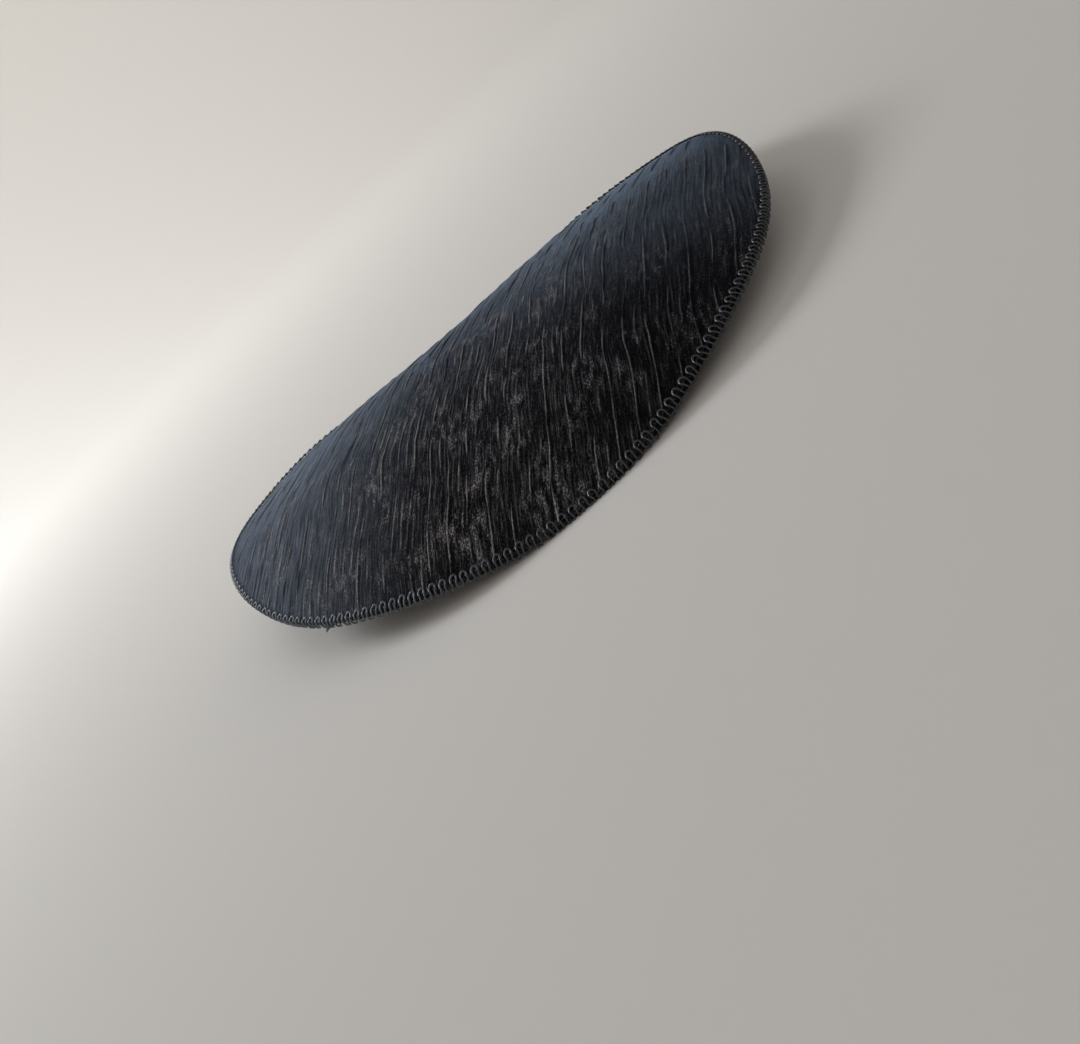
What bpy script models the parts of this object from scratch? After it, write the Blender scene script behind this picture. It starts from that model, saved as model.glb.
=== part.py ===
"""Saucer fascinator: a stiff velvet-covered disc bent into an arch, edged with a scroll braid.

Metres, +Z up. The hat stands on a table on the two low stretches of its rim, and the origin is on
the table under its middle. X runs along the straight crest of the arch, and Y across it, from the
front edge to the back edge.
"""

from collections import namedtuple
from math import acos, atan2, cos, hypot, pi, radians, sin

import bmesh
import bpy
from mathutils import Matrix, Vector
from mathutils.bvhtree import BVHTree
from mathutils.geometry import intersect_ray_tri

# Disc, measured flat before it is bent
BRIM_DIAMETER = 0.450
BRIM_WALL = 0.0025
BEND_RADIUS = 0.600
CENTRE_CROWN = 0.0075

# Creases of the crushed velvet, side by side and nearly straight across the arch
CREASE_DIRECTION = 64
CREASE_HEIGHT = 0.0011
CREASE_SWAY = 0.0022
CREASE_REACH = 0.90
CREASE_FAN = 0.03
CREASE_FADE = 0.12
SWAY_WAVES = 1.6

# Scroll braid sewn over the edge: its inner rings on top, its outer loops down the side
BRAID_SEAT = 0.0061
BRAID_THICKNESS = 0.0021
BRAID_SIDE_THICKNESS = 0.0015
BRAID_DROP = 0.0005
BRAID_SCROLLS = 202

# Hair comb under the disc
COMB_TEETH = 15
COMB_TOOTH_WIDTH = 0.0026
COMB_TOOTH_GAP = 0.0024
COMB_TOOTH_LENGTH = 0.030
COMB_TIP_WIDTH = 0.0012
COMB_SPINE_DEPTH = 0.008
COMB_THICKNESS = 0.0022
COMB_BEND_RADIUS = 0.055
COMB_SIDE_OFFSET = 0.020
COMB_FRONT_OFFSET = 0.045

# Gap between pieces that touch, and the depth of cloth pressed flat where the rim stands
SEAT_GAP = 0.0003
REST_FLATTENING = 0.0007

# Fineness of the meshes
COLUMNS_PER_CREASE = 3
ROWS_ALONG_CREASE = 18
TOOTH_STEPS = 3

BRIM_RADIUS = BRIM_DIAMETER / 2
COVER_RADIUS = BRIM_RADIUS - BRAID_SEAT
COMB_PITCH = COMB_TOOTH_WIDTH + COMB_TOOTH_GAP
COMB_LENGTH = COMB_TEETH * COMB_PITCH - COMB_TOOTH_GAP

# The handmade edge waves a little. Waves is their number round the rim, height a share of the
# disc's radius, and crest the angle of one crest from +X, in degrees.
RimWave = namedtuple("RimWave", "waves height crest")
RIM_WAVES = (
    RimWave(3, 0.0156, 35),
    RimWave(4, 0.0092, -44),
    RimWave(5, 0.0038, -12),
    RimWave(6, 0.0118, 3),
)

# One row for each main crease, from the left of the disc to its right. Height is a share of
# CREASE_HEIGHT. The ends and the dip between them are shares along the crease, from -1 at its
# front end on the rim to 1 at its back end.
Crease = namedtuple("Crease", "height front_end dip back_end")
CREASES = (
    Crease(0.5, -0.70, -0.10, 0.60),
    Crease(0.6, -0.80, 0.10, 0.70),
    Crease(0.7, -0.85, -0.20, 0.55),
    Crease(0.9, -0.90, -0.45, 0.80),
    Crease(0.8, -0.85, 0.30, 0.90),
    Crease(0.9, -0.90, -0.30, 0.70),
    Crease(0.6, -0.95, 0.15, 0.85),
    Crease(0.8, -0.80, -0.35, 0.75),
    Crease(1.0, -0.95, 0.40, 0.90),
    Crease(0.8, -0.70, -0.25, 0.60),
    Crease(1.0, -0.95, -0.62, 0.80),
    Crease(0.8, -0.75, 0.25, 0.90),
    Crease(0.7, -0.80, -0.40, 0.65),
    Crease(0.9, -0.95, 0.35, 0.85),
    Crease(1.0, -0.78, -0.15, 0.75),
    Crease(0.9, -0.80, 0.45, 0.90),
    Crease(0.8, -0.75, -0.45, 0.70),
    Crease(0.6, -0.85, -0.58, 0.60),
    Crease(1.0, -0.92, 0.20, 0.80),
    Crease(0.9, -0.88, -0.20, 0.90),
    Crease(0.8, -0.82, 0.50, 0.75),
    Crease(0.9, -0.90, -0.42, 0.65),
    Crease(1.0, -0.86, 0.30, 0.85),
    Crease(0.9, -0.82, -0.28, 0.70),
    Crease(1.0, -0.72, 0.10, 0.80),
    Crease(0.7, -0.75, -0.30, 0.60),
    Crease(0.5, -0.60, 0.20, 0.55),
)

Finish = namedtuple("Finish", "colour roughness metallic")
FINISHES = {
    "crushed_velvet_black": Finish((0.014, 0.016, 0.021), 0.85, 0.0),
    "braid_cord_black": Finish((0.010, 0.010, 0.012), 0.38, 0.0),
    "comb_plastic_black": Finish((0.012, 0.012, 0.013), 0.30, 0.0),
}


def clear_scene():
    """Remove what the file opened with."""
    for old in list(bpy.data.objects):
        bpy.data.objects.remove(old, do_unlink=True)


def make_collection(name):
    """A new collection in the scene."""
    collection = bpy.data.collections.new(name)
    bpy.context.scene.collection.children.link(collection)
    return collection


def make_material(name):
    """The Principled material of one finish."""
    finish = FINISHES[name]
    material = bpy.data.materials.new(name)
    material.use_nodes = True
    shader = material.node_tree.nodes["Principled BSDF"]
    shader.inputs["Base Color"].default_value = (*finish.colour, 1.0)
    shader.inputs["Roughness"].default_value = finish.roughness
    shader.inputs["Metallic"].default_value = finish.metallic
    return material


def add_piece(name, shape, collection, material_name, parent, sharp_angle):
    """A named piece from its finished shape, smooth but for the edges sharper than the angle."""
    bmesh.ops.recalc_face_normals(shape, faces=shape.faces)
    mesh = bpy.data.meshes.new(name)
    shape.to_mesh(mesh)
    shape.free()
    mesh.shade_smooth()
    mesh.set_sharp_from_angle(angle=radians(sharp_angle))
    mesh.materials.append(make_material(material_name))
    piece = bpy.data.objects.new(name, mesh)
    piece.parent = parent
    collection.objects.link(piece)
    return piece


def bent_surface(x, y):
    """Where a point of the flat disc's top lies once the disc is bent into its arch."""
    share = hypot(x, y) / BRIM_RADIUS
    angle = atan2(y, x)
    wave = sum(row.height * cos(row.waves * (angle - radians(row.crest))) for row in RIM_WAVES)
    lift = share ** 3 * wave * BRIM_RADIUS + CENTRE_CROWN * (1 - share ** 2)
    turn = y / BEND_RADIUS
    return Vector((x, BEND_RADIUS * sin(turn), lift - BEND_RADIUS * (1 - cos(turn))))


def surface_normal(x, y):
    """The bent top's upward normal at a point of the flat disc."""
    step = BRIM_WALL / 10
    along_x = bent_surface(x + step, y) - bent_surface(x - step, y)
    along_y = bent_surface(x, y + step) - bent_surface(x, y - step)
    return along_x.cross(along_y).normalized()


def bend_over_arch(shape):
    """Bend a flat shape, whose heights are measured from the disc's top."""
    for vert in shape.verts:
        x, y, height = vert.co
        vert.co = bent_surface(x, y) + surface_normal(x, y) * height


def crease_grid_point(across, along):
    """The flat place of a grid corner whose two shares run from -1 to 1.

    Each column of the grid is a line from the front rim to the back rim. The lines fan apart
    towards the back and sway, and the outermost two follow the rim itself.
    """
    share = across * CREASE_REACH
    front = -acos(share * (1 - CREASE_FAN))
    back = acos(share * (1 + CREASE_FAN))
    eased = (along + sin(along * pi / 2)) / 2
    weight = (1 + eased) / 2
    if abs(across) == 1:
        if across < 0:
            back -= 2 * pi
        angle = front + (back - front) * weight
        return Vector((cos(angle), sin(angle), 0)) * COVER_RADIUS
    front_point = Vector((cos(front), sin(front), 0)) * COVER_RADIUS
    back_point = Vector((cos(back), sin(back), 0)) * COVER_RADIUS
    sway = sin(2 * pi * (SWAY_WAVES * eased + across / 2)) * (1 - eased ** 2) * (1 - across ** 2)
    return front_point.lerp(back_point, weight) + Vector((sway * CREASE_SWAY, 0, 0))


def crease_height(column, along):
    """The height of the cover on one column of the grid: creases, and flat cloth between them."""
    number, between = divmod(column, COLUMNS_PER_CREASE)
    if between or not 1 <= number <= len(CREASES):
        return 0.0
    crease = CREASES[number - 1]
    from_end = min(along - crease.front_end, crease.back_end - along)
    from_dip = abs(along - crease.dip)
    rise = min(max(from_end / CREASE_FADE, 0), 1) * min(from_dip / CREASE_FADE, 1)
    return CREASE_HEIGHT * crease.height * rise


def brim_disc_shape():
    """The covered disc: a grid along the creases, its edge, and the wall under both."""
    shape = bmesh.new()
    columns = COLUMNS_PER_CREASE * (len(CREASES) + 1)
    bmesh.ops.create_grid(shape, x_segments=columns, y_segments=ROWS_ALONG_CREASE, size=1)
    for vert in shape.verts:
        column = round((vert.co.x + 1) / 2 * columns)
        across = 2 * column / columns - 1
        along = vert.co.y
        vert.co = crease_grid_point(across, along)
        vert.co.z = crease_height(column, along)
    rim_edges = [edge for edge in shape.edges if edge.is_boundary]
    edge_ring = bmesh.ops.extrude_edge_only(shape, edges=rim_edges)["geom"]
    edge_verts = [item for item in edge_ring if isinstance(item, bmesh.types.BMVert)]
    for vert in edge_verts:
        vert.co = vert.co * (BRIM_RADIUS / COVER_RADIUS)
    under = bmesh.ops.extrude_face_region(shape, geom=shape.faces[:])["geom"]
    for vert in [item for item in under if isinstance(item, bmesh.types.BMVert)]:
        vert.co.z = -BRIM_WALL
    turn = Matrix.Rotation(radians(CREASE_DIRECTION) - pi / 2, 4, "Z")
    bmesh.ops.transform(shape, matrix=turn, verts=shape.verts)
    bend_over_arch(shape)
    return shape


def edge_braid_shape():
    """The braid: a low crowned band folded over the edge, turned round the rim and bent with it."""
    inner = COVER_RADIUS + SEAT_GAP
    side = BRIM_RADIUS + SEAT_GAP
    outer = side + BRAID_SIDE_THICKNESS
    top = SEAT_GAP + BRAID_THICKNESS
    shoulder = BRAID_SEAT / 5
    shape = bmesh.new()
    section = [
        (inner, SEAT_GAP),
        (inner, top / 2),
        (inner + shoulder, top),
        (BRIM_RADIUS - shoulder / 2, top),
        (outer, top / 4),
        (outer, -BRAID_DROP),
        (side, -BRAID_DROP),
        (side, SEAT_GAP),
    ]
    corners = [shape.verts.new((radius, 0, height)) for radius, height in section]
    outline = [shape.edges.new((corners[i - 1], corners[i])) for i in range(len(corners))]
    bmesh.ops.spin(
        shape,
        geom=corners + outline,
        cent=(0, 0, 0),
        axis=(0, 0, 1),
        angle=2 * pi,
        steps=BRAID_SCROLLS,
        use_merge=True,
    )
    bend_over_arch(shape)
    return shape


def hair_comb_shape():
    """The comb: a flat spine along X and tapered teeth towards +Y that curve down and away."""
    cells = 2 * COMB_TEETH - 1
    shape = bmesh.new()
    bmesh.ops.create_grid(shape, x_segments=cells, y_segments=1, size=1)
    for vert in shape.verts:
        cell = round((vert.co.x + 1) / 2 * cells)
        edge = (cell // 2) * COMB_PITCH + (cell % 2) * COMB_TOOTH_WIDTH - COMB_LENGTH / 2
        vert.co = Vector((edge, (vert.co.y + 1) / 2 * COMB_SPINE_DEPTH, 0))
    under = bmesh.ops.extrude_face_region(shape, geom=shape.faces[:])["geom"]
    for vert in [item for item in under if isinstance(item, bmesh.types.BMVert)]:
        vert.co.z = -COMB_THICKNESS
    shape.normal_update()

    first_tooth = (COMB_TOOTH_WIDTH - COMB_LENGTH) / 2
    tooth_middles = [first_tooth + number * COMB_PITCH for number in range(COMB_TEETH)]
    roots = []
    for face in shape.faces:
        middle = face.calc_center_median()
        at_front = middle.y > COMB_SPINE_DEPTH * 0.999
        if at_front and min(abs(middle.x - tooth) for tooth in tooth_middles) < COMB_TIP_WIDTH / 2:
            roots.append(face)
    for step in range(1, TOOTH_STEPS + 1):
        share = step / TOOTH_STEPS
        taper = COMB_TIP_WIDTH / COMB_TOOTH_WIDTH
        width = 1 + (taper - 1) * share
        before = 1 + (taper - 1) * (step - 1) / TOOTH_STEPS
        roots = bmesh.ops.extrude_discrete_faces(shape, faces=roots)["faces"]
        for face in roots:
            middle = face.calc_center_median()
            for vert in face.verts:
                vert.co.x = middle.x + (vert.co.x - middle.x) * width / before
                vert.co.z = middle.z + (vert.co.z - middle.z) * width / before
                vert.co.y = COMB_SPINE_DEPTH + COMB_TOOTH_LENGTH * share
    for vert in shape.verts:
        turn = max(vert.co.y - COMB_SPINE_DEPTH, 0) / COMB_BEND_RADIUS
        radius = COMB_BEND_RADIUS + vert.co.z
        if turn:
            vert.co.y = COMB_SPINE_DEPTH + radius * sin(turn)
            vert.co.z = radius * cos(turn) - COMB_BEND_RADIUS
    return shape


def comb_seat(disc_shape):
    """Where the comb sits: its spine level with the underside and just clear of its lowest spot."""
    x, y = COMB_SIDE_OFFSET, -COMB_FRONT_OFFSET
    up = surface_normal(x, y)
    forward = up.cross(Vector((1, 0, 0))).normalized()
    side = forward.cross(up)
    place = bent_surface(x, y) - up * BRIM_WALL
    underside = BVHTree.FromBMesh(disc_shape)
    falls = []
    for number in range(COMB_TEETH + 1):
        for depth in (0, COMB_SPINE_DEPTH / 2, COMB_SPINE_DEPTH):
            along = (number / COMB_TEETH - 0.5) * COMB_LENGTH
            below = place + side * along + forward * depth - up * COMB_TOOTH_LENGTH
            distance = underside.ray_cast(below, up)[3]
            falls.append(COMB_TOOTH_LENGTH - distance)
    place -= up * (max(falls) + SEAT_GAP)
    turn = Matrix((side, forward, up)).transposed().to_4x4()
    return Matrix.Translation(place) @ turn


def standing_place(shape):
    """The turn and lift with which the bent disc stands on the table as it comes to rest.

    It stands on the face of its own hull that lies under its middle, and its cloth is pressed
    flat there.
    """
    hull = bmesh.new()
    for vert in shape.verts:
        hull.verts.new(vert.co)
    bmesh.ops.convex_hull(hull, input=hull.verts)
    hull.normal_update()
    below = Vector((0, 0, -BRIM_DIAMETER))
    hits = []
    for face in hull.faces:
        corners = [vert.co for vert in face.verts]
        hit = intersect_ray_tri(*corners, Vector((0, 0, 1)), below, True)
        if hit:
            hits.append((hit.z, face.normal.copy(), corners[0].copy()))
    _, normal, corner = min(hits, key=lambda entry: entry[0])
    if normal.z > 0:
        normal.negate()
    turn = normal.rotation_difference(Vector((0, 0, -1))).to_matrix().to_4x4()
    turned = [turn @ vert.co for vert in hull.verts]
    hull.free()
    middle_x = (min(point.x for point in turned) + max(point.x for point in turned)) / 2
    middle_y = (min(point.y for point in turned) + max(point.y for point in turned)) / 2
    lift = -(turn @ corner).z - REST_FLATTENING
    return Matrix.Translation((-middle_x, -middle_y, lift)) @ turn


def press_flat_on_table(disc, cutters):
    """Cut the disc level with the table where its edge is pressed flat."""
    block = bmesh.new()
    bmesh.ops.create_cube(block, size=2 * BRIM_DIAMETER)
    bmesh.ops.translate(block, vec=(0, 0, -BRIM_DIAMETER), verts=block.verts)
    mesh = bpy.data.meshes.new("table_cutter")
    block.to_mesh(mesh)
    block.free()
    cutter = bpy.data.objects.new("table_cutter", mesh)
    cutter.hide_render = True
    cutter.display_type = "WIRE"
    cutters.objects.link(cutter)
    cut = disc.modifiers.new("pressed_flat", "BOOLEAN")
    cut.operation = "DIFFERENCE"
    cut.object = cutter


def build():
    """The hat: the covered disc, the braid round its edge and the comb under it."""
    clear_scene()
    parts = make_collection("fascinator_hat")
    cutters = make_collection("cutters")

    disc_shape = brim_disc_shape()
    comb_place = comb_seat(disc_shape)
    hat_frame = bpy.data.objects.new("hat_frame", None)
    hat_frame.matrix_world = standing_place(disc_shape)
    parts.objects.link(hat_frame)

    disc = add_piece("brim_disc", disc_shape, parts, "crushed_velvet_black", hat_frame, 40)
    add_piece("edge_braid", edge_braid_shape(), parts, "braid_cord_black", hat_frame, 60)
    comb = add_piece("hair_comb", hair_comb_shape(), parts, "comb_plastic_black", hat_frame, 30)
    comb.matrix_local = comb_place
    press_flat_on_table(disc, cutters)


build()
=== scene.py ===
from math import cos, pi, radians, sin

import bpy
import numpy as np
from mathutils import Matrix, Vector, noise


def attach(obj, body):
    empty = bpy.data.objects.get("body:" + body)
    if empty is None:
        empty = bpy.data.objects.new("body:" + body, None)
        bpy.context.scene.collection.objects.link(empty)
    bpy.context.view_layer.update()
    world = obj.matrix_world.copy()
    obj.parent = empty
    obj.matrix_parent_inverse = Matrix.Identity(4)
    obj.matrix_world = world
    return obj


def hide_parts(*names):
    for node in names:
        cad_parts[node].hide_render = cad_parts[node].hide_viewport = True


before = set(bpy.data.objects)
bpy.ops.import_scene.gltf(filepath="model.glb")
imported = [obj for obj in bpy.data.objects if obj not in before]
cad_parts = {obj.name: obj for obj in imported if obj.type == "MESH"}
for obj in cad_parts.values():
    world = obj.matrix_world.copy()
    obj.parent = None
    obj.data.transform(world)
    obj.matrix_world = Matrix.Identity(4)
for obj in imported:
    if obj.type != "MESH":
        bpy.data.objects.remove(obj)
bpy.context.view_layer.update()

# Camera
# It looks at the hat from where the photo was taken: low in front, and rolled to one side, because
# the hat lies level here.
LENS = 36
EYE = Vector((0.0348, -0.7339, 0.2318))
SIGHT_LINE = Vector((-0.1019, 0.9148, -0.3908)).normalized()
PHOTO_UP = Vector((0.6553, 0.3573, 0.6655))

bpy.ops.object.camera_add(location=EYE)
camera = bpy.context.object
camera.name = "photo_camera"
camera.data.lens = LENS
camera.data.sensor_width = 36
camera.data.clip_start = 0.01
camera.data.clip_end = 50
photo_right = SIGHT_LINE.cross(PHOTO_UP).normalized()
photo_up = photo_right.cross(SIGHT_LINE)
turn = Matrix((photo_right, photo_up, -SIGHT_LINE)).transposed().to_4x4()
camera.matrix_world = Matrix.Translation(EYE) @ turn
bpy.context.scene.camera = camera

# Velvet disc
# A flat round of stiff base cloth with a wire in its edge, covered in crushed velvet that is glued
# down in thin parallel creases and turned over the edge, then bent into a low arch by hand.
DISC_RADIUS = 0.225
DISC_WALL = 0.0025
BEND_RADIUS = 0.600
CENTRE_CROWN = 0.0075
EDGE_WAVES = (
    # waves round the rim, height as a share of the radius, direction of one crest in degrees
    (3, 0.0156, 35),
    (4, 0.0092, -44),
    (5, 0.0038, -12),
    (6, 0.0118, 3),
)
SETTLED_TILT = 1.599
SETTLED_TOWARDS = -41.8
SETTLED_SHIFT = Vector((0, -0.00086, 0.04784))


def bend_over_arch(flat):
    """Places on the hat, as it stands on the table, of points on the flat disc.

    A flat point is its x, its y and its height over the disc's top.
    """
    def top(x, y):
        share = np.hypot(x, y) / DISC_RADIUS
        angle = np.arctan2(y, x)
        wave = sum(high * np.cos(n * (angle - radians(crest))) for n, high, crest in EDGE_WAVES)
        lift = share ** 3 * wave * DISC_RADIUS + CENTRE_CROWN * (1 - share ** 2)
        around = y / BEND_RADIUS
        sag = BEND_RADIUS * (1 - np.cos(around))
        return np.stack((x, BEND_RADIUS * np.sin(around), lift - sag), axis=-1)

    x, y, height = flat[:, 0], flat[:, 1], flat[:, 2]
    step = DISC_WALL / 10
    normal = np.cross(top(x + step, y) - top(x - step, y), top(x, y + step) - top(x, y - step))
    normal /= np.linalg.norm(normal, axis=1, keepdims=True)
    bent = top(x, y) + normal * height[:, None]
    axis = Vector((-sin(radians(SETTLED_TOWARDS)), cos(radians(SETTLED_TOWARDS)), 0))
    tilt = np.array(Matrix.Rotation(radians(SETTLED_TILT), 3, axis))
    return bent @ tilt.T + np.array(SETTLED_SHIFT)


GRAIN_DIRECTION = 64


def turn_to_grain(flat):
    """Points laid out along the creases, turned to the creases' direction on the disc."""
    turned = flat.copy()
    angle = radians(GRAIN_DIRECTION) - pi / 2
    turned[:, 0] = flat[:, 0] * cos(angle) - flat[:, 1] * sin(angle)
    turned[:, 1] = flat[:, 0] * sin(angle) + flat[:, 1] * cos(angle)
    return turned


def get_points(piece):
    points = np.empty(len(piece.data.vertices) * 3)
    piece.data.vertices.foreach_get("co", points)
    return points.reshape(-1, 3)


def set_points(piece, points):
    piece.data.vertices.foreach_set("co", points.ravel())
    piece.data.update()


def name_piece(name):
    """The object that an operator has just added or joined, with its name."""
    piece = bpy.context.object
    piece.name = name
    piece.data.name = name
    return piece


CREASE_PITCH = 0.01446
COLUMNS = 790
ROWS = 98
CREASE_CROWDING = 0.5
GRAIN_REACH = 0.984
EDGE_ROUND = 0.0012
COVER_RADIUS = DISC_RADIUS - EDGE_ROUND

bpy.ops.object.select_all(action="DESELECT")
bpy.ops.mesh.primitive_grid_add(x_subdivisions=COLUMNS, y_subdivisions=ROWS, size=2)
velvet = name_piece("velvet_disc")
grid = get_points(velvet)
column = np.rint((grid[:, 0] + 1) / 2 * COLUMNS).astype(int)
row = np.rint((grid[:, 1] + 1) / 2 * ROWS).astype(int)

# Columns crowd towards the main creases, which lie at whole numbers of the pitch.
span = GRAIN_REACH * COVER_RADIUS / CREASE_PITCH
pitches = np.linspace(-span, span, COLUMNS + 1)
crowded = pitches - CREASE_CROWDING * np.sin(2 * pi * pitches) / (2 * pi)
crowded *= span / abs(crowded[-1])
column_place = crowded * CREASE_PITCH


GRAIN_LEAN = 0.085
LEAN_CHANGE = 0.35
GRAIN_WAVE = 0.0010
WAVE_LENGTH_SHARE = 0.45
WAVE_START = 0.10


def grain_drift(place, along):
    """How far the creases lean and wave sideways at a distance along the grain, in metres."""
    lean = GRAIN_LEAN - LEAN_CHANGE * place
    wave = np.sin(2 * pi * (along / DISC_RADIUS / WAVE_LENGTH_SHARE + WAVE_START))
    return -lean * along - GRAIN_WAVE * wave


HALVINGS = 40


def rim_reach(sign):
    """Where each column of the grid meets the rim, along the grain."""
    low = np.zeros(COLUMNS + 1)
    high = np.full(COLUMNS + 1, COVER_RADIUS)
    for _ in range(HALVINGS):
        middle = (low + high) / 2
        across = column_place + grain_drift(column_place, sign * middle)
        inside = across ** 2 + middle ** 2 < COVER_RADIUS ** 2
        low = np.where(inside, middle, low)
        high = np.where(inside, high, middle)
    return sign * low


front_reach = rim_reach(-1)
back_reach = rim_reach(1)
share = row / ROWS
along = front_reach[column] * (1 - share) + back_reach[column] * share
place = column_place[column]
outer_column = (column == 0) | (column == COLUMNS)
across = place + grain_drift(place, along)
rim_across = np.sign(place) * np.sqrt(np.maximum(COVER_RADIUS ** 2 - along ** 2, 0))
across = np.where(outer_column, rim_across, across)
at_rim = (row == 0) | (row == ROWS) | outer_column


def grain_noise(across_metres, along_metres, size_across, size_along, seed):
    """Smooth noise from -1 to 1 on the cloth, with its grain's size in metres."""
    return np.array([
        noise.noise(Vector((a / size_across, b / size_along, seed * 17.3)))
        for a, b in zip(across_metres, along_metres)
    ])


def grid_noise(size_across, size_along, seed):
    return grain_noise(place, along, size_across, size_along, seed)


# Neighbouring creases sway together, but not at the rim.
SWAYS = (
    # how far, size across the creases, size along them, seed
    (0.0021, 0.040, 0.060, 1),
    (0.0013, 0.014, 0.026, 2),
    (0.00045, 0.006, 0.011, 4),
)
inward = 1 - (np.hypot(across, along) / COVER_RADIUS) ** 8
sway = sum(far * grid_noise(size_across, size_along, seed) for far, size_across, size_along, seed in SWAYS)
across = across + sway * inward * (~at_rim)

# Main creases: thin sharp ridges, broken into stretches
RIDGE_HEIGHT = 0.00095
RIDGE_HALF_WIDTH = 0.00052
CREST_HALF_WIDTH = 0.00030
STRETCH_LENGTH = 0.032
order = np.rint(place / CREASE_PITCH)
from_crease = place - order * CREASE_PITCH
stretch = grain_noise(order * 0.7, along, 1.0, STRETCH_LENGTH, 3)
strong = np.clip((stretch + 0.20) / 0.26, 0, 1)
height = RIDGE_HEIGHT * strong * np.exp(-np.abs(from_crease / RIDGE_HALF_WIDTH) ** 1.7)
crest = strong * np.exp(-np.abs(from_crease / CREST_HALF_WIDTH) ** 2)

# Fine creases between them, which wander
FINE_HEIGHT = 0.00052
FINE_HALF_WIDTH = 0.0005
FINE_WANDER = 0.0016
FINE_REACH = 0.004
FINE_TRACKS = (
    # place between two main creases, share of the height, share of the shine
    (0.20, 0.8, 0.20),
    (0.36, 0.7, 0.12),
    (0.52, 1.1, 0.70),
    (0.66, 0.6, 0.12),
    (0.82, 0.8, 0.20),
)
rng = np.random.default_rng(64)
for number, (offset, weight, gloss) in enumerate(FINE_TRACKS):
    for pitch_number in range(-16, 16):
        middle = (pitch_number + offset + rng.uniform(-0.06, 0.06)) * CREASE_PITCH
        near = np.abs(place - middle) < FINE_REACH
        if not near.any():
            continue
        wander = grain_noise(np.full(near.sum(), middle), along[near], 0.01, 0.030, 5 + number)
        line = middle + FINE_WANDER * wander
        gate = grain_noise(np.full(near.sum(), middle * 3), along[near], 0.01, 0.026, 11 + number)
        rise = np.clip((gate + 0.02) / 0.2, 0, 1) * weight
        shape = np.exp(-np.abs((place[near] - line) / FINE_HALF_WIDTH) ** 1.8)
        height[near] = np.maximum(height[near], FINE_HEIGHT * rise * shape)
        crest[near] = np.maximum(crest[near], gloss * rise / weight * shape ** 2.5)

# The cloth puffs a little between the glued creases, and the braid presses it down.
PUFF_HEIGHT = 0.00028
PILE_UNEVENNESS = 0.00012
BRAID_INNER = 0.2189
PRESSED_FROM = 0.0004
PRESSED_TO = 0.0038
puff = 0.5 - 0.5 * np.cos(2 * pi * place / CREASE_PITCH)
height += PUFF_HEIGHT * puff * (1 + grid_noise(0.012, 0.03, 21))
height += PILE_UNEVENNESS * grid_noise(0.004, 0.012, 22)
to_pressed = BRAID_INNER + PRESSED_TO - np.hypot(across, along)
under_braid = np.clip(to_pressed / (PRESSED_TO - PRESSED_FROM), 0.15, 1)
height *= under_braid
crest *= under_braid

flat = np.stack((across, along, height), axis=-1)
cloth_lay = np.stack((place, along), axis=-1)

# The turned edge and the underside close the wall.
bpy.ops.object.mode_set(mode="EDIT")
bpy.ops.mesh.select_all(action="SELECT")
bpy.ops.mesh.region_to_loop()
EDGE_SECTION = (
    # distance in from the rim, depth under the top
    (0.0004, 0.0003),
    (0.0, 0.0009),
    (0.0, 0.0016),
    (0.0004, 0.0022),
    (EDGE_ROUND, DISC_WALL),
)
for _ in EDGE_SECTION:
    bpy.ops.mesh.extrude_region_move()
bpy.ops.object.mode_set(mode="OBJECT")
raw = get_points(velvet)
rim_count = (len(raw) - len(grid)) // len(EDGE_SECTION)
lookup = {tuple(np.round(point[:2], 7)): index for index, point in enumerate(grid)}
parents = np.array([lookup[tuple(np.round(point[:2], 7))] for point in raw[len(grid):]])
ring = np.arange(len(parents)) // rim_count
edge_inset = np.array([inset for inset, _ in EDGE_SECTION])[ring]
edge_depth = np.array([depth for _, depth in EDGE_SECTION])[ring]
outline = flat[parents, :2]
outline = outline / np.hypot(outline[:, 0], outline[:, 1])[:, None]
edge_points = np.column_stack((outline * (DISC_RADIUS - edge_inset)[:, None], -edge_depth))
flat = np.vstack((flat, edge_points))
edge_lay = outline * (DISC_RADIUS + edge_depth)[:, None]
cloth_lay = np.vstack((cloth_lay, edge_lay))
crest = np.concatenate((crest, np.zeros(len(parents))))
set_points(velvet, bend_over_arch(turn_to_grain(flat)))

UNDER_SPOKES = 240
UNDER_RINGS = (0.221, 0.215, 0.205, 0.190, 0.175, 0.160, 0.145, 0.130,
               0.115, 0.100, 0.085, 0.070, 0.055, 0.040, 0.025, 0.010)
bpy.ops.object.select_all(action="DESELECT")
bpy.ops.mesh.primitive_circle_add(vertices=UNDER_SPOKES, radius=UNDER_RINGS[0], fill_type="NOTHING")
under = name_piece("underside")
bpy.ops.object.mode_set(mode="EDIT")
bpy.ops.mesh.select_all(action="SELECT")
for outside, inside in zip(UNDER_RINGS, UNDER_RINGS[1:]):
    bpy.ops.mesh.extrude_region_move()
    bpy.ops.transform.resize(value=(inside / outside, inside / outside, 1))
bpy.ops.mesh.extrude_region_move()
bpy.ops.mesh.merge(type="CENTER")
bpy.ops.object.mode_set(mode="OBJECT")
under_flat = get_points(under)
under_flat[:, 2] = -DISC_WALL
set_points(under, bend_over_arch(under_flat))
under_lay = under_flat[:, :2].copy()

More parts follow.
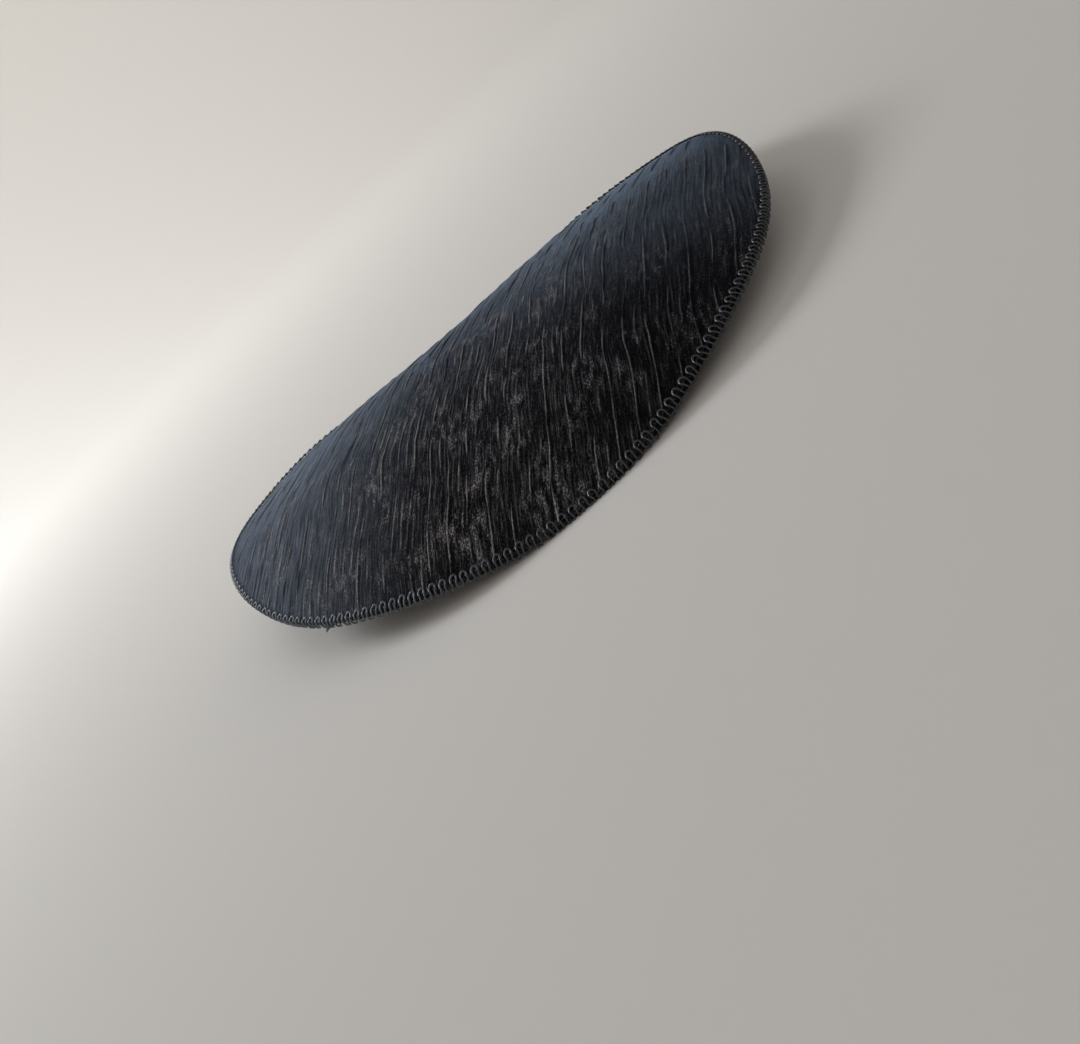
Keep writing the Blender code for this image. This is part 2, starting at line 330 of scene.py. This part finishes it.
cover_verts = len(flat)
velvet.select_set(True)
bpy.context.view_layer.objects.active = velvet
bpy.ops.object.join()
bpy.ops.object.mode_set(mode="EDIT")
bpy.ops.mesh.select_all(action="SELECT")
bpy.ops.mesh.region_to_loop()
bpy.ops.mesh.bridge_edge_loops()
bpy.ops.mesh.select_all(action="SELECT")
bpy.ops.mesh.normals_make_consistent(inside=False)
bpy.ops.object.mode_set(mode="OBJECT")
points = get_points(velvet)
points[:, 2] = np.maximum(points[:, 2], 0)
set_points(velvet, points)
cloth_lay = np.vstack((cloth_lay, under_lay))
crest = np.concatenate((crest, np.zeros(len(under_lay))))


def lay_uv(piece, name, lay):
    """A UV map from one flat place for each vertex, in metres of cloth."""
    corner_verts = np.empty(len(piece.data.loops), dtype=np.int32)
    piece.data.loops.foreach_get("vertex_index", corner_verts)
    layer = piece.data.uv_layers.new(name=name)
    layer.data.foreach_set("uv", lay[corner_verts].astype(np.float32).ravel())


lay_uv(velvet, "cloth_lay", cloth_lay)
crest_layer = velvet.data.attributes.new("crest", "FLOAT", "POINT")
crest_layer.data.foreach_set("value", crest.astype(np.float32))
bpy.ops.object.shade_smooth()


def start_material(name, colour, roughness):
    material = bpy.data.materials.new(name)
    material.use_nodes = True
    shader = material.node_tree.nodes["Principled BSDF"]
    shader.inputs["Base Color"].default_value = (*colour, 1)
    shader.inputs["Roughness"].default_value = roughness
    return material, shader


def add_node(material, kind, **settings):
    node = material.node_tree.nodes.new(kind)
    for name, value in settings.items():
        setattr(node, name, value)
    return node


def link(material, source, target):
    material.node_tree.links.new(source, target)


def cloth_place(material):
    """The place on the cloth across the creases and along them, in metres."""
    uv = add_node(material, "ShaderNodeUVMap", uv_map="cloth_lay")
    axes = add_node(material, "ShaderNodeSeparateXYZ")
    link(material, uv.outputs["UV"], axes.inputs["Vector"])
    return axes.outputs["X"], axes.outputs["Y"]


def cloth_noise(material, size_across, size_along, detail, low, high, seed):
    """Noise that lies on the cloth, spread from its low and high level to 0 and 1."""
    uv = add_node(material, "ShaderNodeUVMap", uv_map="cloth_lay")
    place = add_node(material, "ShaderNodeMapping")
    place.inputs["Location"].default_value = (seed * 1.7, seed * 2.3, 0)
    place.inputs["Scale"].default_value = (1 / size_across, 1 / size_along, 1)
    field = add_node(material, "ShaderNodeTexNoise", noise_dimensions="2D")
    field.inputs["Scale"].default_value = 1
    field.inputs["Detail"].default_value = detail
    spread = add_node(material, "ShaderNodeMapRange")
    spread.inputs["From Min"].default_value = low
    spread.inputs["From Max"].default_value = high
    link(material, uv.outputs["UV"], place.inputs["Vector"])
    link(material, place.outputs["Vector"], field.inputs["Vector"])
    link(material, field.outputs["Fac"], spread.inputs["Value"])
    return spread.outputs["Result"]


def fade(material, value, start, end, low=0.0, high=1.0):
    """A value spread smoothly, from low where it is start to high where it is end."""
    node = add_node(material, "ShaderNodeMapRange", interpolation_type="SMOOTHSTEP")
    levels = {"From Min": start, "From Max": end, "To Min": low, "To Max": high}
    for name, level in levels.items():
        node.inputs[name].default_value = level
    link(material, value, node.inputs["Value"])
    return node.outputs["Result"]


def combine(material, operation, *values):
    """One Math node on sockets or numbers."""
    node = add_node(material, "ShaderNodeMath", operation=operation)
    for socket, value in zip(node.inputs, values):
        if isinstance(value, (int, float)):
            socket.default_value = value
        else:
            link(material, value, socket)
    return node.outputs["Value"]


def blend_colour(material, share, first, second):
    """The first colour where the share is 0, and the second where it is 1."""
    node = add_node(material, "ShaderNodeMix", data_type="RGBA")
    link(material, share, node.inputs["Factor"])
    for name, value in (("A", first), ("B", second)):
        socket = [s for s in node.inputs if s.name == name and s.type == "RGBA"][0]
        if isinstance(value, tuple):
            socket.default_value = (*value, 1)
        else:
            link(material, value, socket)
    return [s for s in node.outputs if s.type == "RGBA"][0]


def add_bump(material, shader, height, strength, distance):
    """A fine relief that only the light shows."""
    bump = add_node(material, "ShaderNodeBump")
    bump.inputs["Strength"].default_value = strength
    bump.inputs["Distance"].default_value = distance
    link(material, height, bump.inputs["Height"])
    link(material, bump.outputs["Normal"], shader.inputs["Normal"])


PILE_BLACK = (0.0018, 0.0018, 0.0024)
# Pile colour of the brushed nap, which also paints a bluish sheen where the light grazes the left and the
# back.
PILE_NAP_AND_SHEEN = (0.117, 0.140, 0.180)
PILE_CRUSHED = (0.268, 0.247, 0.260)
# A painted highlight along the creases' crests.
PILE_CREST_HIGHLIGHT = (0.60, 0.58, 0.58)
velvet_pile, shader = start_material("crushed_velvet_black", PILE_BLACK, 0.9)
shader.inputs["Specular IOR Level"].default_value = 0.02
shader.inputs["Sheen Weight"].default_value = 1.0
shader.inputs["Sheen Roughness"].default_value = 0.2
shader.inputs["Sheen Tint"].default_value = (0.50, 0.68, 0.94, 1)

# Patterns of the pile: size across the creases and along them, detail, two levels and a seed
speck = cloth_noise(velvet_pile, 0.0007, 0.0019, 3, 0.49, 0.59, 1)
streak = cloth_noise(velvet_pile, 0.0011, 0.014, 1, 0.57, 0.66, 2)
tuft = cloth_noise(velvet_pile, 0.0034, 0.014, 4, 0.47, 0.64, 3)
zone = cloth_noise(velvet_pile, 0.026, 0.040, 2, 0.45, 0.62, 4)
shine = cloth_noise(velvet_pile, 0.020, 0.034, 1, 0.31, 0.52, 5)
fine_streak = cloth_noise(velvet_pile, 0.0016, 0.030, 2, 0.36, 0.62, 6)
broken = combine(velvet_pile, "MULTIPLY_ADD", speck, 0.7, 0.3)

# The pile is painted lighter and bluer towards the left and the back, and lies darkest at the front right:
# partly a brushed nap, partly a painted sheen where the window light grazes the cloth.
nap_across, nap_along = cloth_place(velvet_pile)
left = fade(velvet_pile, nap_across, 0.0, -0.25)
right_half = fade(velvet_pile, nap_across, -0.05, 0.10, high=0.27)
back = fade(velvet_pile, nap_along, -0.07, 0.035)
right_back = combine(velvet_pile, "MULTIPLY", right_half, back)
nap_and_sheen = combine(velvet_pile, "MAXIMUM", left, right_back)
streaked = combine(velvet_pile, "MULTIPLY_ADD", fine_streak, 0.75, 0.45)
nap_and_sheen_share = combine(velvet_pile, "MULTIPLY", nap_and_sheen, streaked)
pile = blend_colour(velvet_pile, nap_and_sheen_share, PILE_BLACK, PILE_NAP_AND_SHEEN)

# Crushed patches, lit fibres and specks lie on it; towards the right they are dimmed, a painted shade
# where less light falls.
right_shade_dimming = fade(velvet_pile, nap_across, 0.17, 0.02, low=0.3)
patch = combine(velvet_pile, "MULTIPLY", tuft, zone)
crushed = combine(velvet_pile, "MULTIPLY", patch, combine(velvet_pile, "POWER", broken, 1.8))
fibres = combine(velvet_pile, "MULTIPLY", streak, combine(velvet_pile, "MULTIPLY", broken, 0.33))
lit = combine(velvet_pile, "MAXIMUM", crushed, fibres)
lit = combine(velvet_pile, "MAXIMUM", lit, combine(velvet_pile, "MULTIPLY", speck, 0.08))
lit = combine(velvet_pile, "MULTIPLY", lit, right_shade_dimming)
pile = blend_colour(velvet_pile, lit, pile, PILE_CRUSHED)

# The creases' crests are painted lighter in stretches, a painted highlight, dimmed towards the right with
# the painted shade.
crest_value = add_node(velvet_pile, "ShaderNodeAttribute", attribute_name="crest").outputs["Fac"]
crest_highlight = combine(velvet_pile, "MULTIPLY", crest_value, combine(velvet_pile, "MULTIPLY", shine, right_shade_dimming))
crest_highlight = combine(velvet_pile, "MULTIPLY", crest_highlight, combine(velvet_pile, "POWER", broken, 0.7))
pile = blend_colour(velvet_pile, crest_highlight, pile, PILE_CREST_HIGHLIGHT)
link(velvet_pile, pile, shader.inputs["Base Color"])
add_bump(velvet_pile, shader, combine(velvet_pile, "ADD", speck, streak), 0.35, 0.0004)

# The underside is a plain woven cloth, with thicker threads here and there.
UNDER_BLACK = (0.009, 0.009, 0.011)
UNDER_SLUB = (0.021, 0.021, 0.024)
WEAVE_PITCH = 0.0005
under_cloth, shader = start_material("plain_cloth_black", UNDER_BLACK, 0.85)
shader.inputs["Sheen Weight"].default_value = 0.2
threads = [
    combine(under_cloth, "SINE", combine(under_cloth, "MULTIPLY", place, 2 * pi / WEAVE_PITCH))
    for place in cloth_place(under_cloth)
]
weave = combine(under_cloth, "MULTIPLY", *threads)
slub = cloth_noise(under_cloth, 0.0010, 0.020, 2, 0.40, 0.70, 8)
slubbed = blend_colour(under_cloth, slub, UNDER_BLACK, UNDER_SLUB)
link(under_cloth, slubbed, shader.inputs["Base Color"])
add_bump(under_cloth, shader, weave, 0.5, 0.0001)
velvet.data.materials.append(velvet_pile)
velvet.data.materials.append(under_cloth)
face_starts = np.empty(len(velvet.data.polygons), dtype=np.int32)
velvet.data.polygons.foreach_get("loop_start", face_starts)
corner_verts = np.empty(len(velvet.data.loops), dtype=np.int32)
velvet.data.loops.foreach_get("vertex_index", corner_verts)
face_first = np.minimum.reduceat(corner_verts, face_starts)
underside_face = face_first >= cover_verts + UNDER_SPOKES
velvet.data.polygons.foreach_set("material_index", underside_face.astype(np.int32))

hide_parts("brim_disc")
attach(velvet, "root")

# Scroll braid
# A gimp braid: one rayon-wrapped cord laid in a chain of round loops, to and fro, and sewn over the
# edge, so that the inner loops lie on the velvet and the outer ones hang down its side.
SCROLLS = 202
CORD_DIAMETER = 0.0013
BRAID_RADIUS = 0.2225
LOOP_SWING = 103
LOOP_STEPS = 12
LOOP_LIFT = 0.0005
RING_RISE = 0.0010
RING_DEPTH = 0.0036
BRAID_START = 0.0008
BRAID_MIDDLE = 0.004
BRAID_FOLD_START = 0.0046
EDGE_ROUNDING = 0.0019
END_SHIFT = 0.0022
END_TUCK = 0.0008


def loop_shape():
    """One inner and one outer loop of the cord: along the rim in pitches, and out in the same unit."""
    fine = 20
    turn = 2 * pi * (np.arange(LOOP_STEPS * fine) + 0.5) / (LOOP_STEPS * fine)
    heading = radians(LOOP_SWING) * np.cos(turn)
    along = np.cumsum(np.cos(heading))
    out = np.cumsum(np.sin(heading)) / along[-1]
    along = along / along[-1]
    return along[::fine], (out - out.min())[::fine]


def fold_over_edge(out, height, tuck):
    """Distance from the disc's middle, and height, of a point on the braid folded over the edge."""
    rounding = EDGE_ROUNDING - tuck
    if out <= BRAID_FOLD_START:
        return BRAID_INNER + out, height
    corner = BRAID_INNER + BRAID_FOLD_START
    reach = rounding + height
    bow = (out - BRAID_FOLD_START) / reach
    down = max(bow - pi / 2, 0) * reach
    bow = min(bow, pi / 2)
    return corner + reach * sin(bow), reach * cos(bow) - rounding - down


def braid_points(unit, wobble, seed):
    """The flat places of a strand that repeats one unit round the rim, a little unevenly.

    At the hat's two ends the braid lies further out over the edge.
    """
    rng = np.random.default_rng(seed)
    pitch = 2 * pi / SCROLLS
    points = []
    for number in range(SCROLLS):
        tilt = rng.normal(0, wobble)
        grow = 1 + rng.normal(0, wobble)
        slide = rng.normal(0, wobble) * 3
        for along, out, high in unit:
            from_middle = out - BRAID_MIDDLE
            moved = (along + from_middle * tilt * 3) * grow + slide * 0.001
            angle = number * pitch + moved / BRAID_RADIUS
            at_end = min(max((abs(cos(angle)) - 0.5) / 0.35, 0), 1)
            out = BRAID_MIDDLE + from_middle * grow + END_SHIFT * at_end
            radius, height = fold_over_edge(out, high, END_TUCK * at_end)
            points.append((radius * cos(angle), radius * sin(angle), height))
    return np.array(points)


def add_strand(name, places, thickness, sides_level, steps, closed=True):
    """A cord through places, made from a curve and turned into a mesh. An open one runs to a point.

    Where it would dip into the table it lies on it.
    """
    bpy.ops.object.select_all(action="DESELECT")
    bpy.ops.curve.primitive_bezier_circle_add()
    strand = name_piece(name)
    strand.data.splines.clear()
    spline = strand.data.splines.new("BEZIER")
    spline.bezier_points.add(len(places) - 1)
    spline.bezier_points.foreach_set("co", places.astype(np.float32).ravel())
    for point in spline.bezier_points:
        point.handle_left_type = "AUTO"
        point.handle_right_type = "AUTO"
    spline.use_cyclic_u = closed
    if not closed:
        taper = np.linspace(1, 0.15, len(places)).astype(np.float32)
        spline.bezier_points.foreach_set("radius", taper)
        strand.data.use_fill_caps = True
    spline.resolution_u = steps
    strand.data.bevel_depth = thickness / 2
    strand.data.bevel_resolution = sides_level
    strand.data.resolution_u = steps
    bpy.ops.object.convert(target="MESH")
    bpy.ops.object.shade_smooth()
    strand = bpy.context.object
    points = get_points(strand)
    points[:, 2] = np.maximum(points[:, 2], 0.0001)
    set_points(strand, points)
    return strand


# The inner loops stand up a little from the velvet, as rings.
scroll_pitch = 2 * pi * BRAID_RADIUS / SCROLLS
loops = []
for along, out in zip(*loop_shape()):
    rise = RING_RISE * max(1 - out * scroll_pitch / RING_DEPTH, 0)
    height = LOOP_LIFT + rise + 0.0003 * sin(6 * pi * along)
    loops.append((along * scroll_pitch, BRAID_START + out * scroll_pitch, height))
places = bend_over_arch(braid_points(loops, 0.03, 7))
places[:, 2] = np.maximum(places[:, 2], CORD_DIAMETER / 2)
braid = add_strand("scroll_cord", places, CORD_DIAMETER, 1, 2)

# The cord's own length, from ring to ring of its mesh, carries the turns of its wrapping.
CORD_SIDES = 6
CORD_TO_RIM = 2.9
cord_rings = len(braid.data.vertices) // CORD_SIDES
ring_number = np.arange(len(braid.data.vertices)) // CORD_SIDES
cord_run = ring_number * (2 * pi * BRAID_RADIUS * CORD_TO_RIM / cord_rings)
run_layer = braid.data.attributes.new("cord_run", "FLOAT", "POINT")
run_layer.data.foreach_set("value", cord_run.astype(np.float32))

CORD_BLACK = (0.0065, 0.0068, 0.0080)
# A painted bluish sheen for the cord towards the left.
CORD_SHEEN_HAZE = (0.095, 0.110, 0.136)
rayon, shader = start_material("braid_cord_black", CORD_BLACK, 0.3)
shader.inputs["Specular IOR Level"].default_value = 0.8
shader.inputs["Sheen Weight"].default_value = 0.22
shader.inputs["Sheen Roughness"].default_value = 0.35
shader.inputs["Sheen Tint"].default_value = (0.55, 0.70, 0.95, 1)

# The cord is painted lighter and bluer towards the left, a painted sheen to match the velvet's, and is
# rougher there.
where = add_node(rayon, "ShaderNodeSeparateXYZ")
link(rayon, add_node(rayon, "ShaderNodeTexCoord").outputs["Object"], where.inputs["Vector"])
left_sheen_share = fade(rayon, where.outputs["X"], 0.0, -0.21)
link(rayon, blend_colour(rayon, left_sheen_share, CORD_BLACK, CORD_SHEEN_HAZE), shader.inputs["Base Color"])
link(rayon, combine(rayon, "MULTIPLY_ADD", left_sheen_share, 0.16, 0.27), shader.inputs["Roughness"])
WRAP_PITCH = 0.0006
run_value = add_node(rayon, "ShaderNodeAttribute", attribute_name="cord_run").outputs["Fac"]
wraps = combine(rayon, "SINE", combine(rayon, "MULTIPLY", run_value, 2 * pi / WRAP_PITCH))
add_bump(rayon, shader, wraps, 0.25, 0.00005)
braid.data.materials.append(rayon)
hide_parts("edge_braid")
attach(braid, "root")

# A thin thread binds each loop to the next.
THREAD_DIAMETER = 0.00035
THREAD_BLACK = (0.008, 0.008, 0.010)
BINDING = (
    # along the rim, out from the braid's inner side, height, in metres
    (-0.0032, 0.0040, 0.0003),
    (-0.0018, 0.0036, 0.0009),
    (-0.0006, 0.0042, 0.0016),
    (0.0006, 0.0048, 0.0016),
    (0.0018, 0.0052, 0.0009),
    (0.0029, 0.0046, 0.0003),
)
places = bend_over_arch(braid_points(BINDING, 0.03, 7))
thread = add_strand("binding_thread", places, THREAD_DIAMETER, 0, 2)
glossy_thread, shader = start_material("braid_thread_black", THREAD_BLACK, 0.22)
shader.inputs["Specular IOR Level"].default_value = 0.6
thread.data.materials.append(glossy_thread)
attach(thread, "root")

# Frayed end of the braid
# Where the braid's two ends meet, one end of the cord has come undone and hangs past the edge in a
# small pointed brush; single fibres stand out at three more places.
FIBRE_BLACK = (0.014, 0.016, 0.021)
ROOT_RADIUS = 0.2252
ROOT_HEIGHT = -0.0015
FRAYED_PLACES = (
    # direction of the place on the rim in degrees, fibres, length, thickness at the root
    (225.5, 13, 0.0070, 0.00095),
    (303.0, 5, 0.0024, 0.00022),
    (287.0, 4, 0.0020, 0.00022),
    (322.0, 3, 0.0020, 0.00022),
)
rng = np.random.default_rng(11)
strands = []
for direction, count, length, thickness in FRAYED_PLACES:
    for number in range(count):
        spread = (number / (count - 1) - 0.5) * 2
        reach = length * (1 - 0.35 * abs(spread)) * rng.uniform(0.85, 1.1)
        points = []
        for share in (0, 0.35, 0.7, 1):
            sideways = spread * length * 0.3 * (1 - 0.85 * share) - length * share
            angle = radians(direction) + sideways / DISC_RADIUS
            radius = ROOT_RADIUS + reach * 0.5 * share
            drop = ROOT_HEIGHT - reach * 0.35 * share ** 1.5 + rng.normal(0, 0.00015)
            points.append((radius * cos(angle), radius * sin(angle), drop))
        places = bend_over_arch(np.array(points))
        strands.append(add_strand("frayed_end", places, thickness, 0, 2, closed=False))
bpy.ops.object.select_all(action="DESELECT")
for strand in strands:
    strand.select_set(True)
bpy.context.view_layer.objects.active = strands[0]
bpy.ops.object.join()
frayed = name_piece("frayed_end")
fibre_black, shader = start_material("frayed_fibres_black", FIBRE_BLACK, 0.65)
shader.inputs["Specular IOR Level"].default_value = 0.2
shader.inputs["Sheen Weight"].default_value = 0.15
frayed.data.materials.append(fibre_black)
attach(frayed, "root")

# Hair comb
# A plain comb moulded in black plastic in one piece and bent to the head. Its spine is sewn under
# the disc, and its teeth go into the hair. It keeps its solid's shape and gets its finish here.
COMB_BLACK = (0.012, 0.012, 0.013)
SCUFF_SCALE = 900
comb_plastic, shader = start_material("comb_plastic_black", COMB_BLACK, 0.3)
where = add_node(comb_plastic, "ShaderNodeTexCoord")
scuffs = add_node(comb_plastic, "ShaderNodeTexNoise")
scuffs.inputs["Scale"].default_value = SCUFF_SCALE
scuffs.inputs["Detail"].default_value = 3
link(comb_plastic, where.outputs["Object"], scuffs.inputs["Vector"])
worn = combine(comb_plastic, "MULTIPLY_ADD", scuffs.outputs["Fac"], 0.2, 0.22)
link(comb_plastic, worn, shader.inputs["Roughness"])
add_bump(comb_plastic, shader, scuffs.outputs["Fac"], 0.12, 0.0001)
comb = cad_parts["hair_comb"]
comb.data.materials.clear()
comb.data.materials.append(comb_plastic)

# Table and backdrop
# A round of pale matt paper that the hat stands on. It curves up all round into a seamless
# backdrop.
FLOOR_RADIUS = 2.2
SWEEP_RADIUS = 1.2
SWEEP_STEPS = 12
WALL_HEIGHT = 2.4
PAPER_PALE = (0.665, 0.635, 0.597)
bpy.ops.object.select_all(action="DESELECT")
bpy.ops.mesh.primitive_circle_add(vertices=96, radius=FLOOR_RADIUS, fill_type="NGON")
floor = name_piece("studio_sweep")
bpy.ops.object.mode_set(mode="EDIT")
bpy.ops.mesh.select_all(action="SELECT")
bpy.ops.mesh.region_to_loop()
before = (FLOOR_RADIUS, 0)
for step in range(1, SWEEP_STEPS + 1):
    bow = step / SWEEP_STEPS * pi / 2
    after = (FLOOR_RADIUS + SWEEP_RADIUS * sin(bow), SWEEP_RADIUS * (1 - cos(bow)))
    bpy.ops.mesh.extrude_region_move(TRANSFORM_OT_translate={"value": (0, 0, after[1] - before[1])})
    bpy.ops.transform.resize(value=(after[0] / before[0], after[0] / before[0], 1))
    before = after
bpy.ops.mesh.extrude_region_move(TRANSFORM_OT_translate={"value": (0, 0, WALL_HEIGHT - before[1])})
bpy.ops.object.mode_set(mode="OBJECT")
bpy.ops.object.shade_smooth()
pale_paper, shader = start_material("pale_backdrop", PAPER_PALE, 0.9)
shader.inputs["Specular IOR Level"].default_value = 0.1
floor.data.materials.append(pale_paper)


# Soft studio light
# A large cool window on the left behind the hat, a weak warm fill in front and one soft light on
# the backdrop, in a room that is pale itself.
HAT_MIDDLE = (0, 0, 0.03)


def add_light(name, place, aim, size, power, colour):
    """A soft square light that looks at a point."""
    bpy.ops.object.light_add(type="AREA", location=place)
    light = bpy.context.object
    light.name = name
    light.data.shape = "SQUARE"
    light.data.size = size
    light.data.energy = power
    light.data.color = colour
    way = Vector(aim) - Vector(place)
    light.rotation_euler = way.to_track_quat("-Z", "Y").to_euler()


add_light("window_light", (-2.45, 1.70, 1.75), HAT_MIDDLE, 1.25, 66, (0.90, 0.95, 1.0))
add_light("front_fill", (0.8, -1.6, 2.0), HAT_MIDDLE, 2.0, 5, (1.0, 0.97, 0.93))
add_light("backdrop_light", (-0.5, 1.2, 2.6), (-1.8, 3.3, 0.9), 1.6, 33, (1.0, 0.98, 0.94))
world = bpy.data.worlds.new("pale_room")
bpy.context.scene.world = world
world.use_nodes = True
world.node_tree.nodes["Background"].inputs["Color"].default_value = (0.96, 0.97, 1.0, 1)
world.node_tree.nodes["Background"].inputs["Strength"].default_value = 0.34
bpy.context.scene.view_settings.view_transform = "Standard"
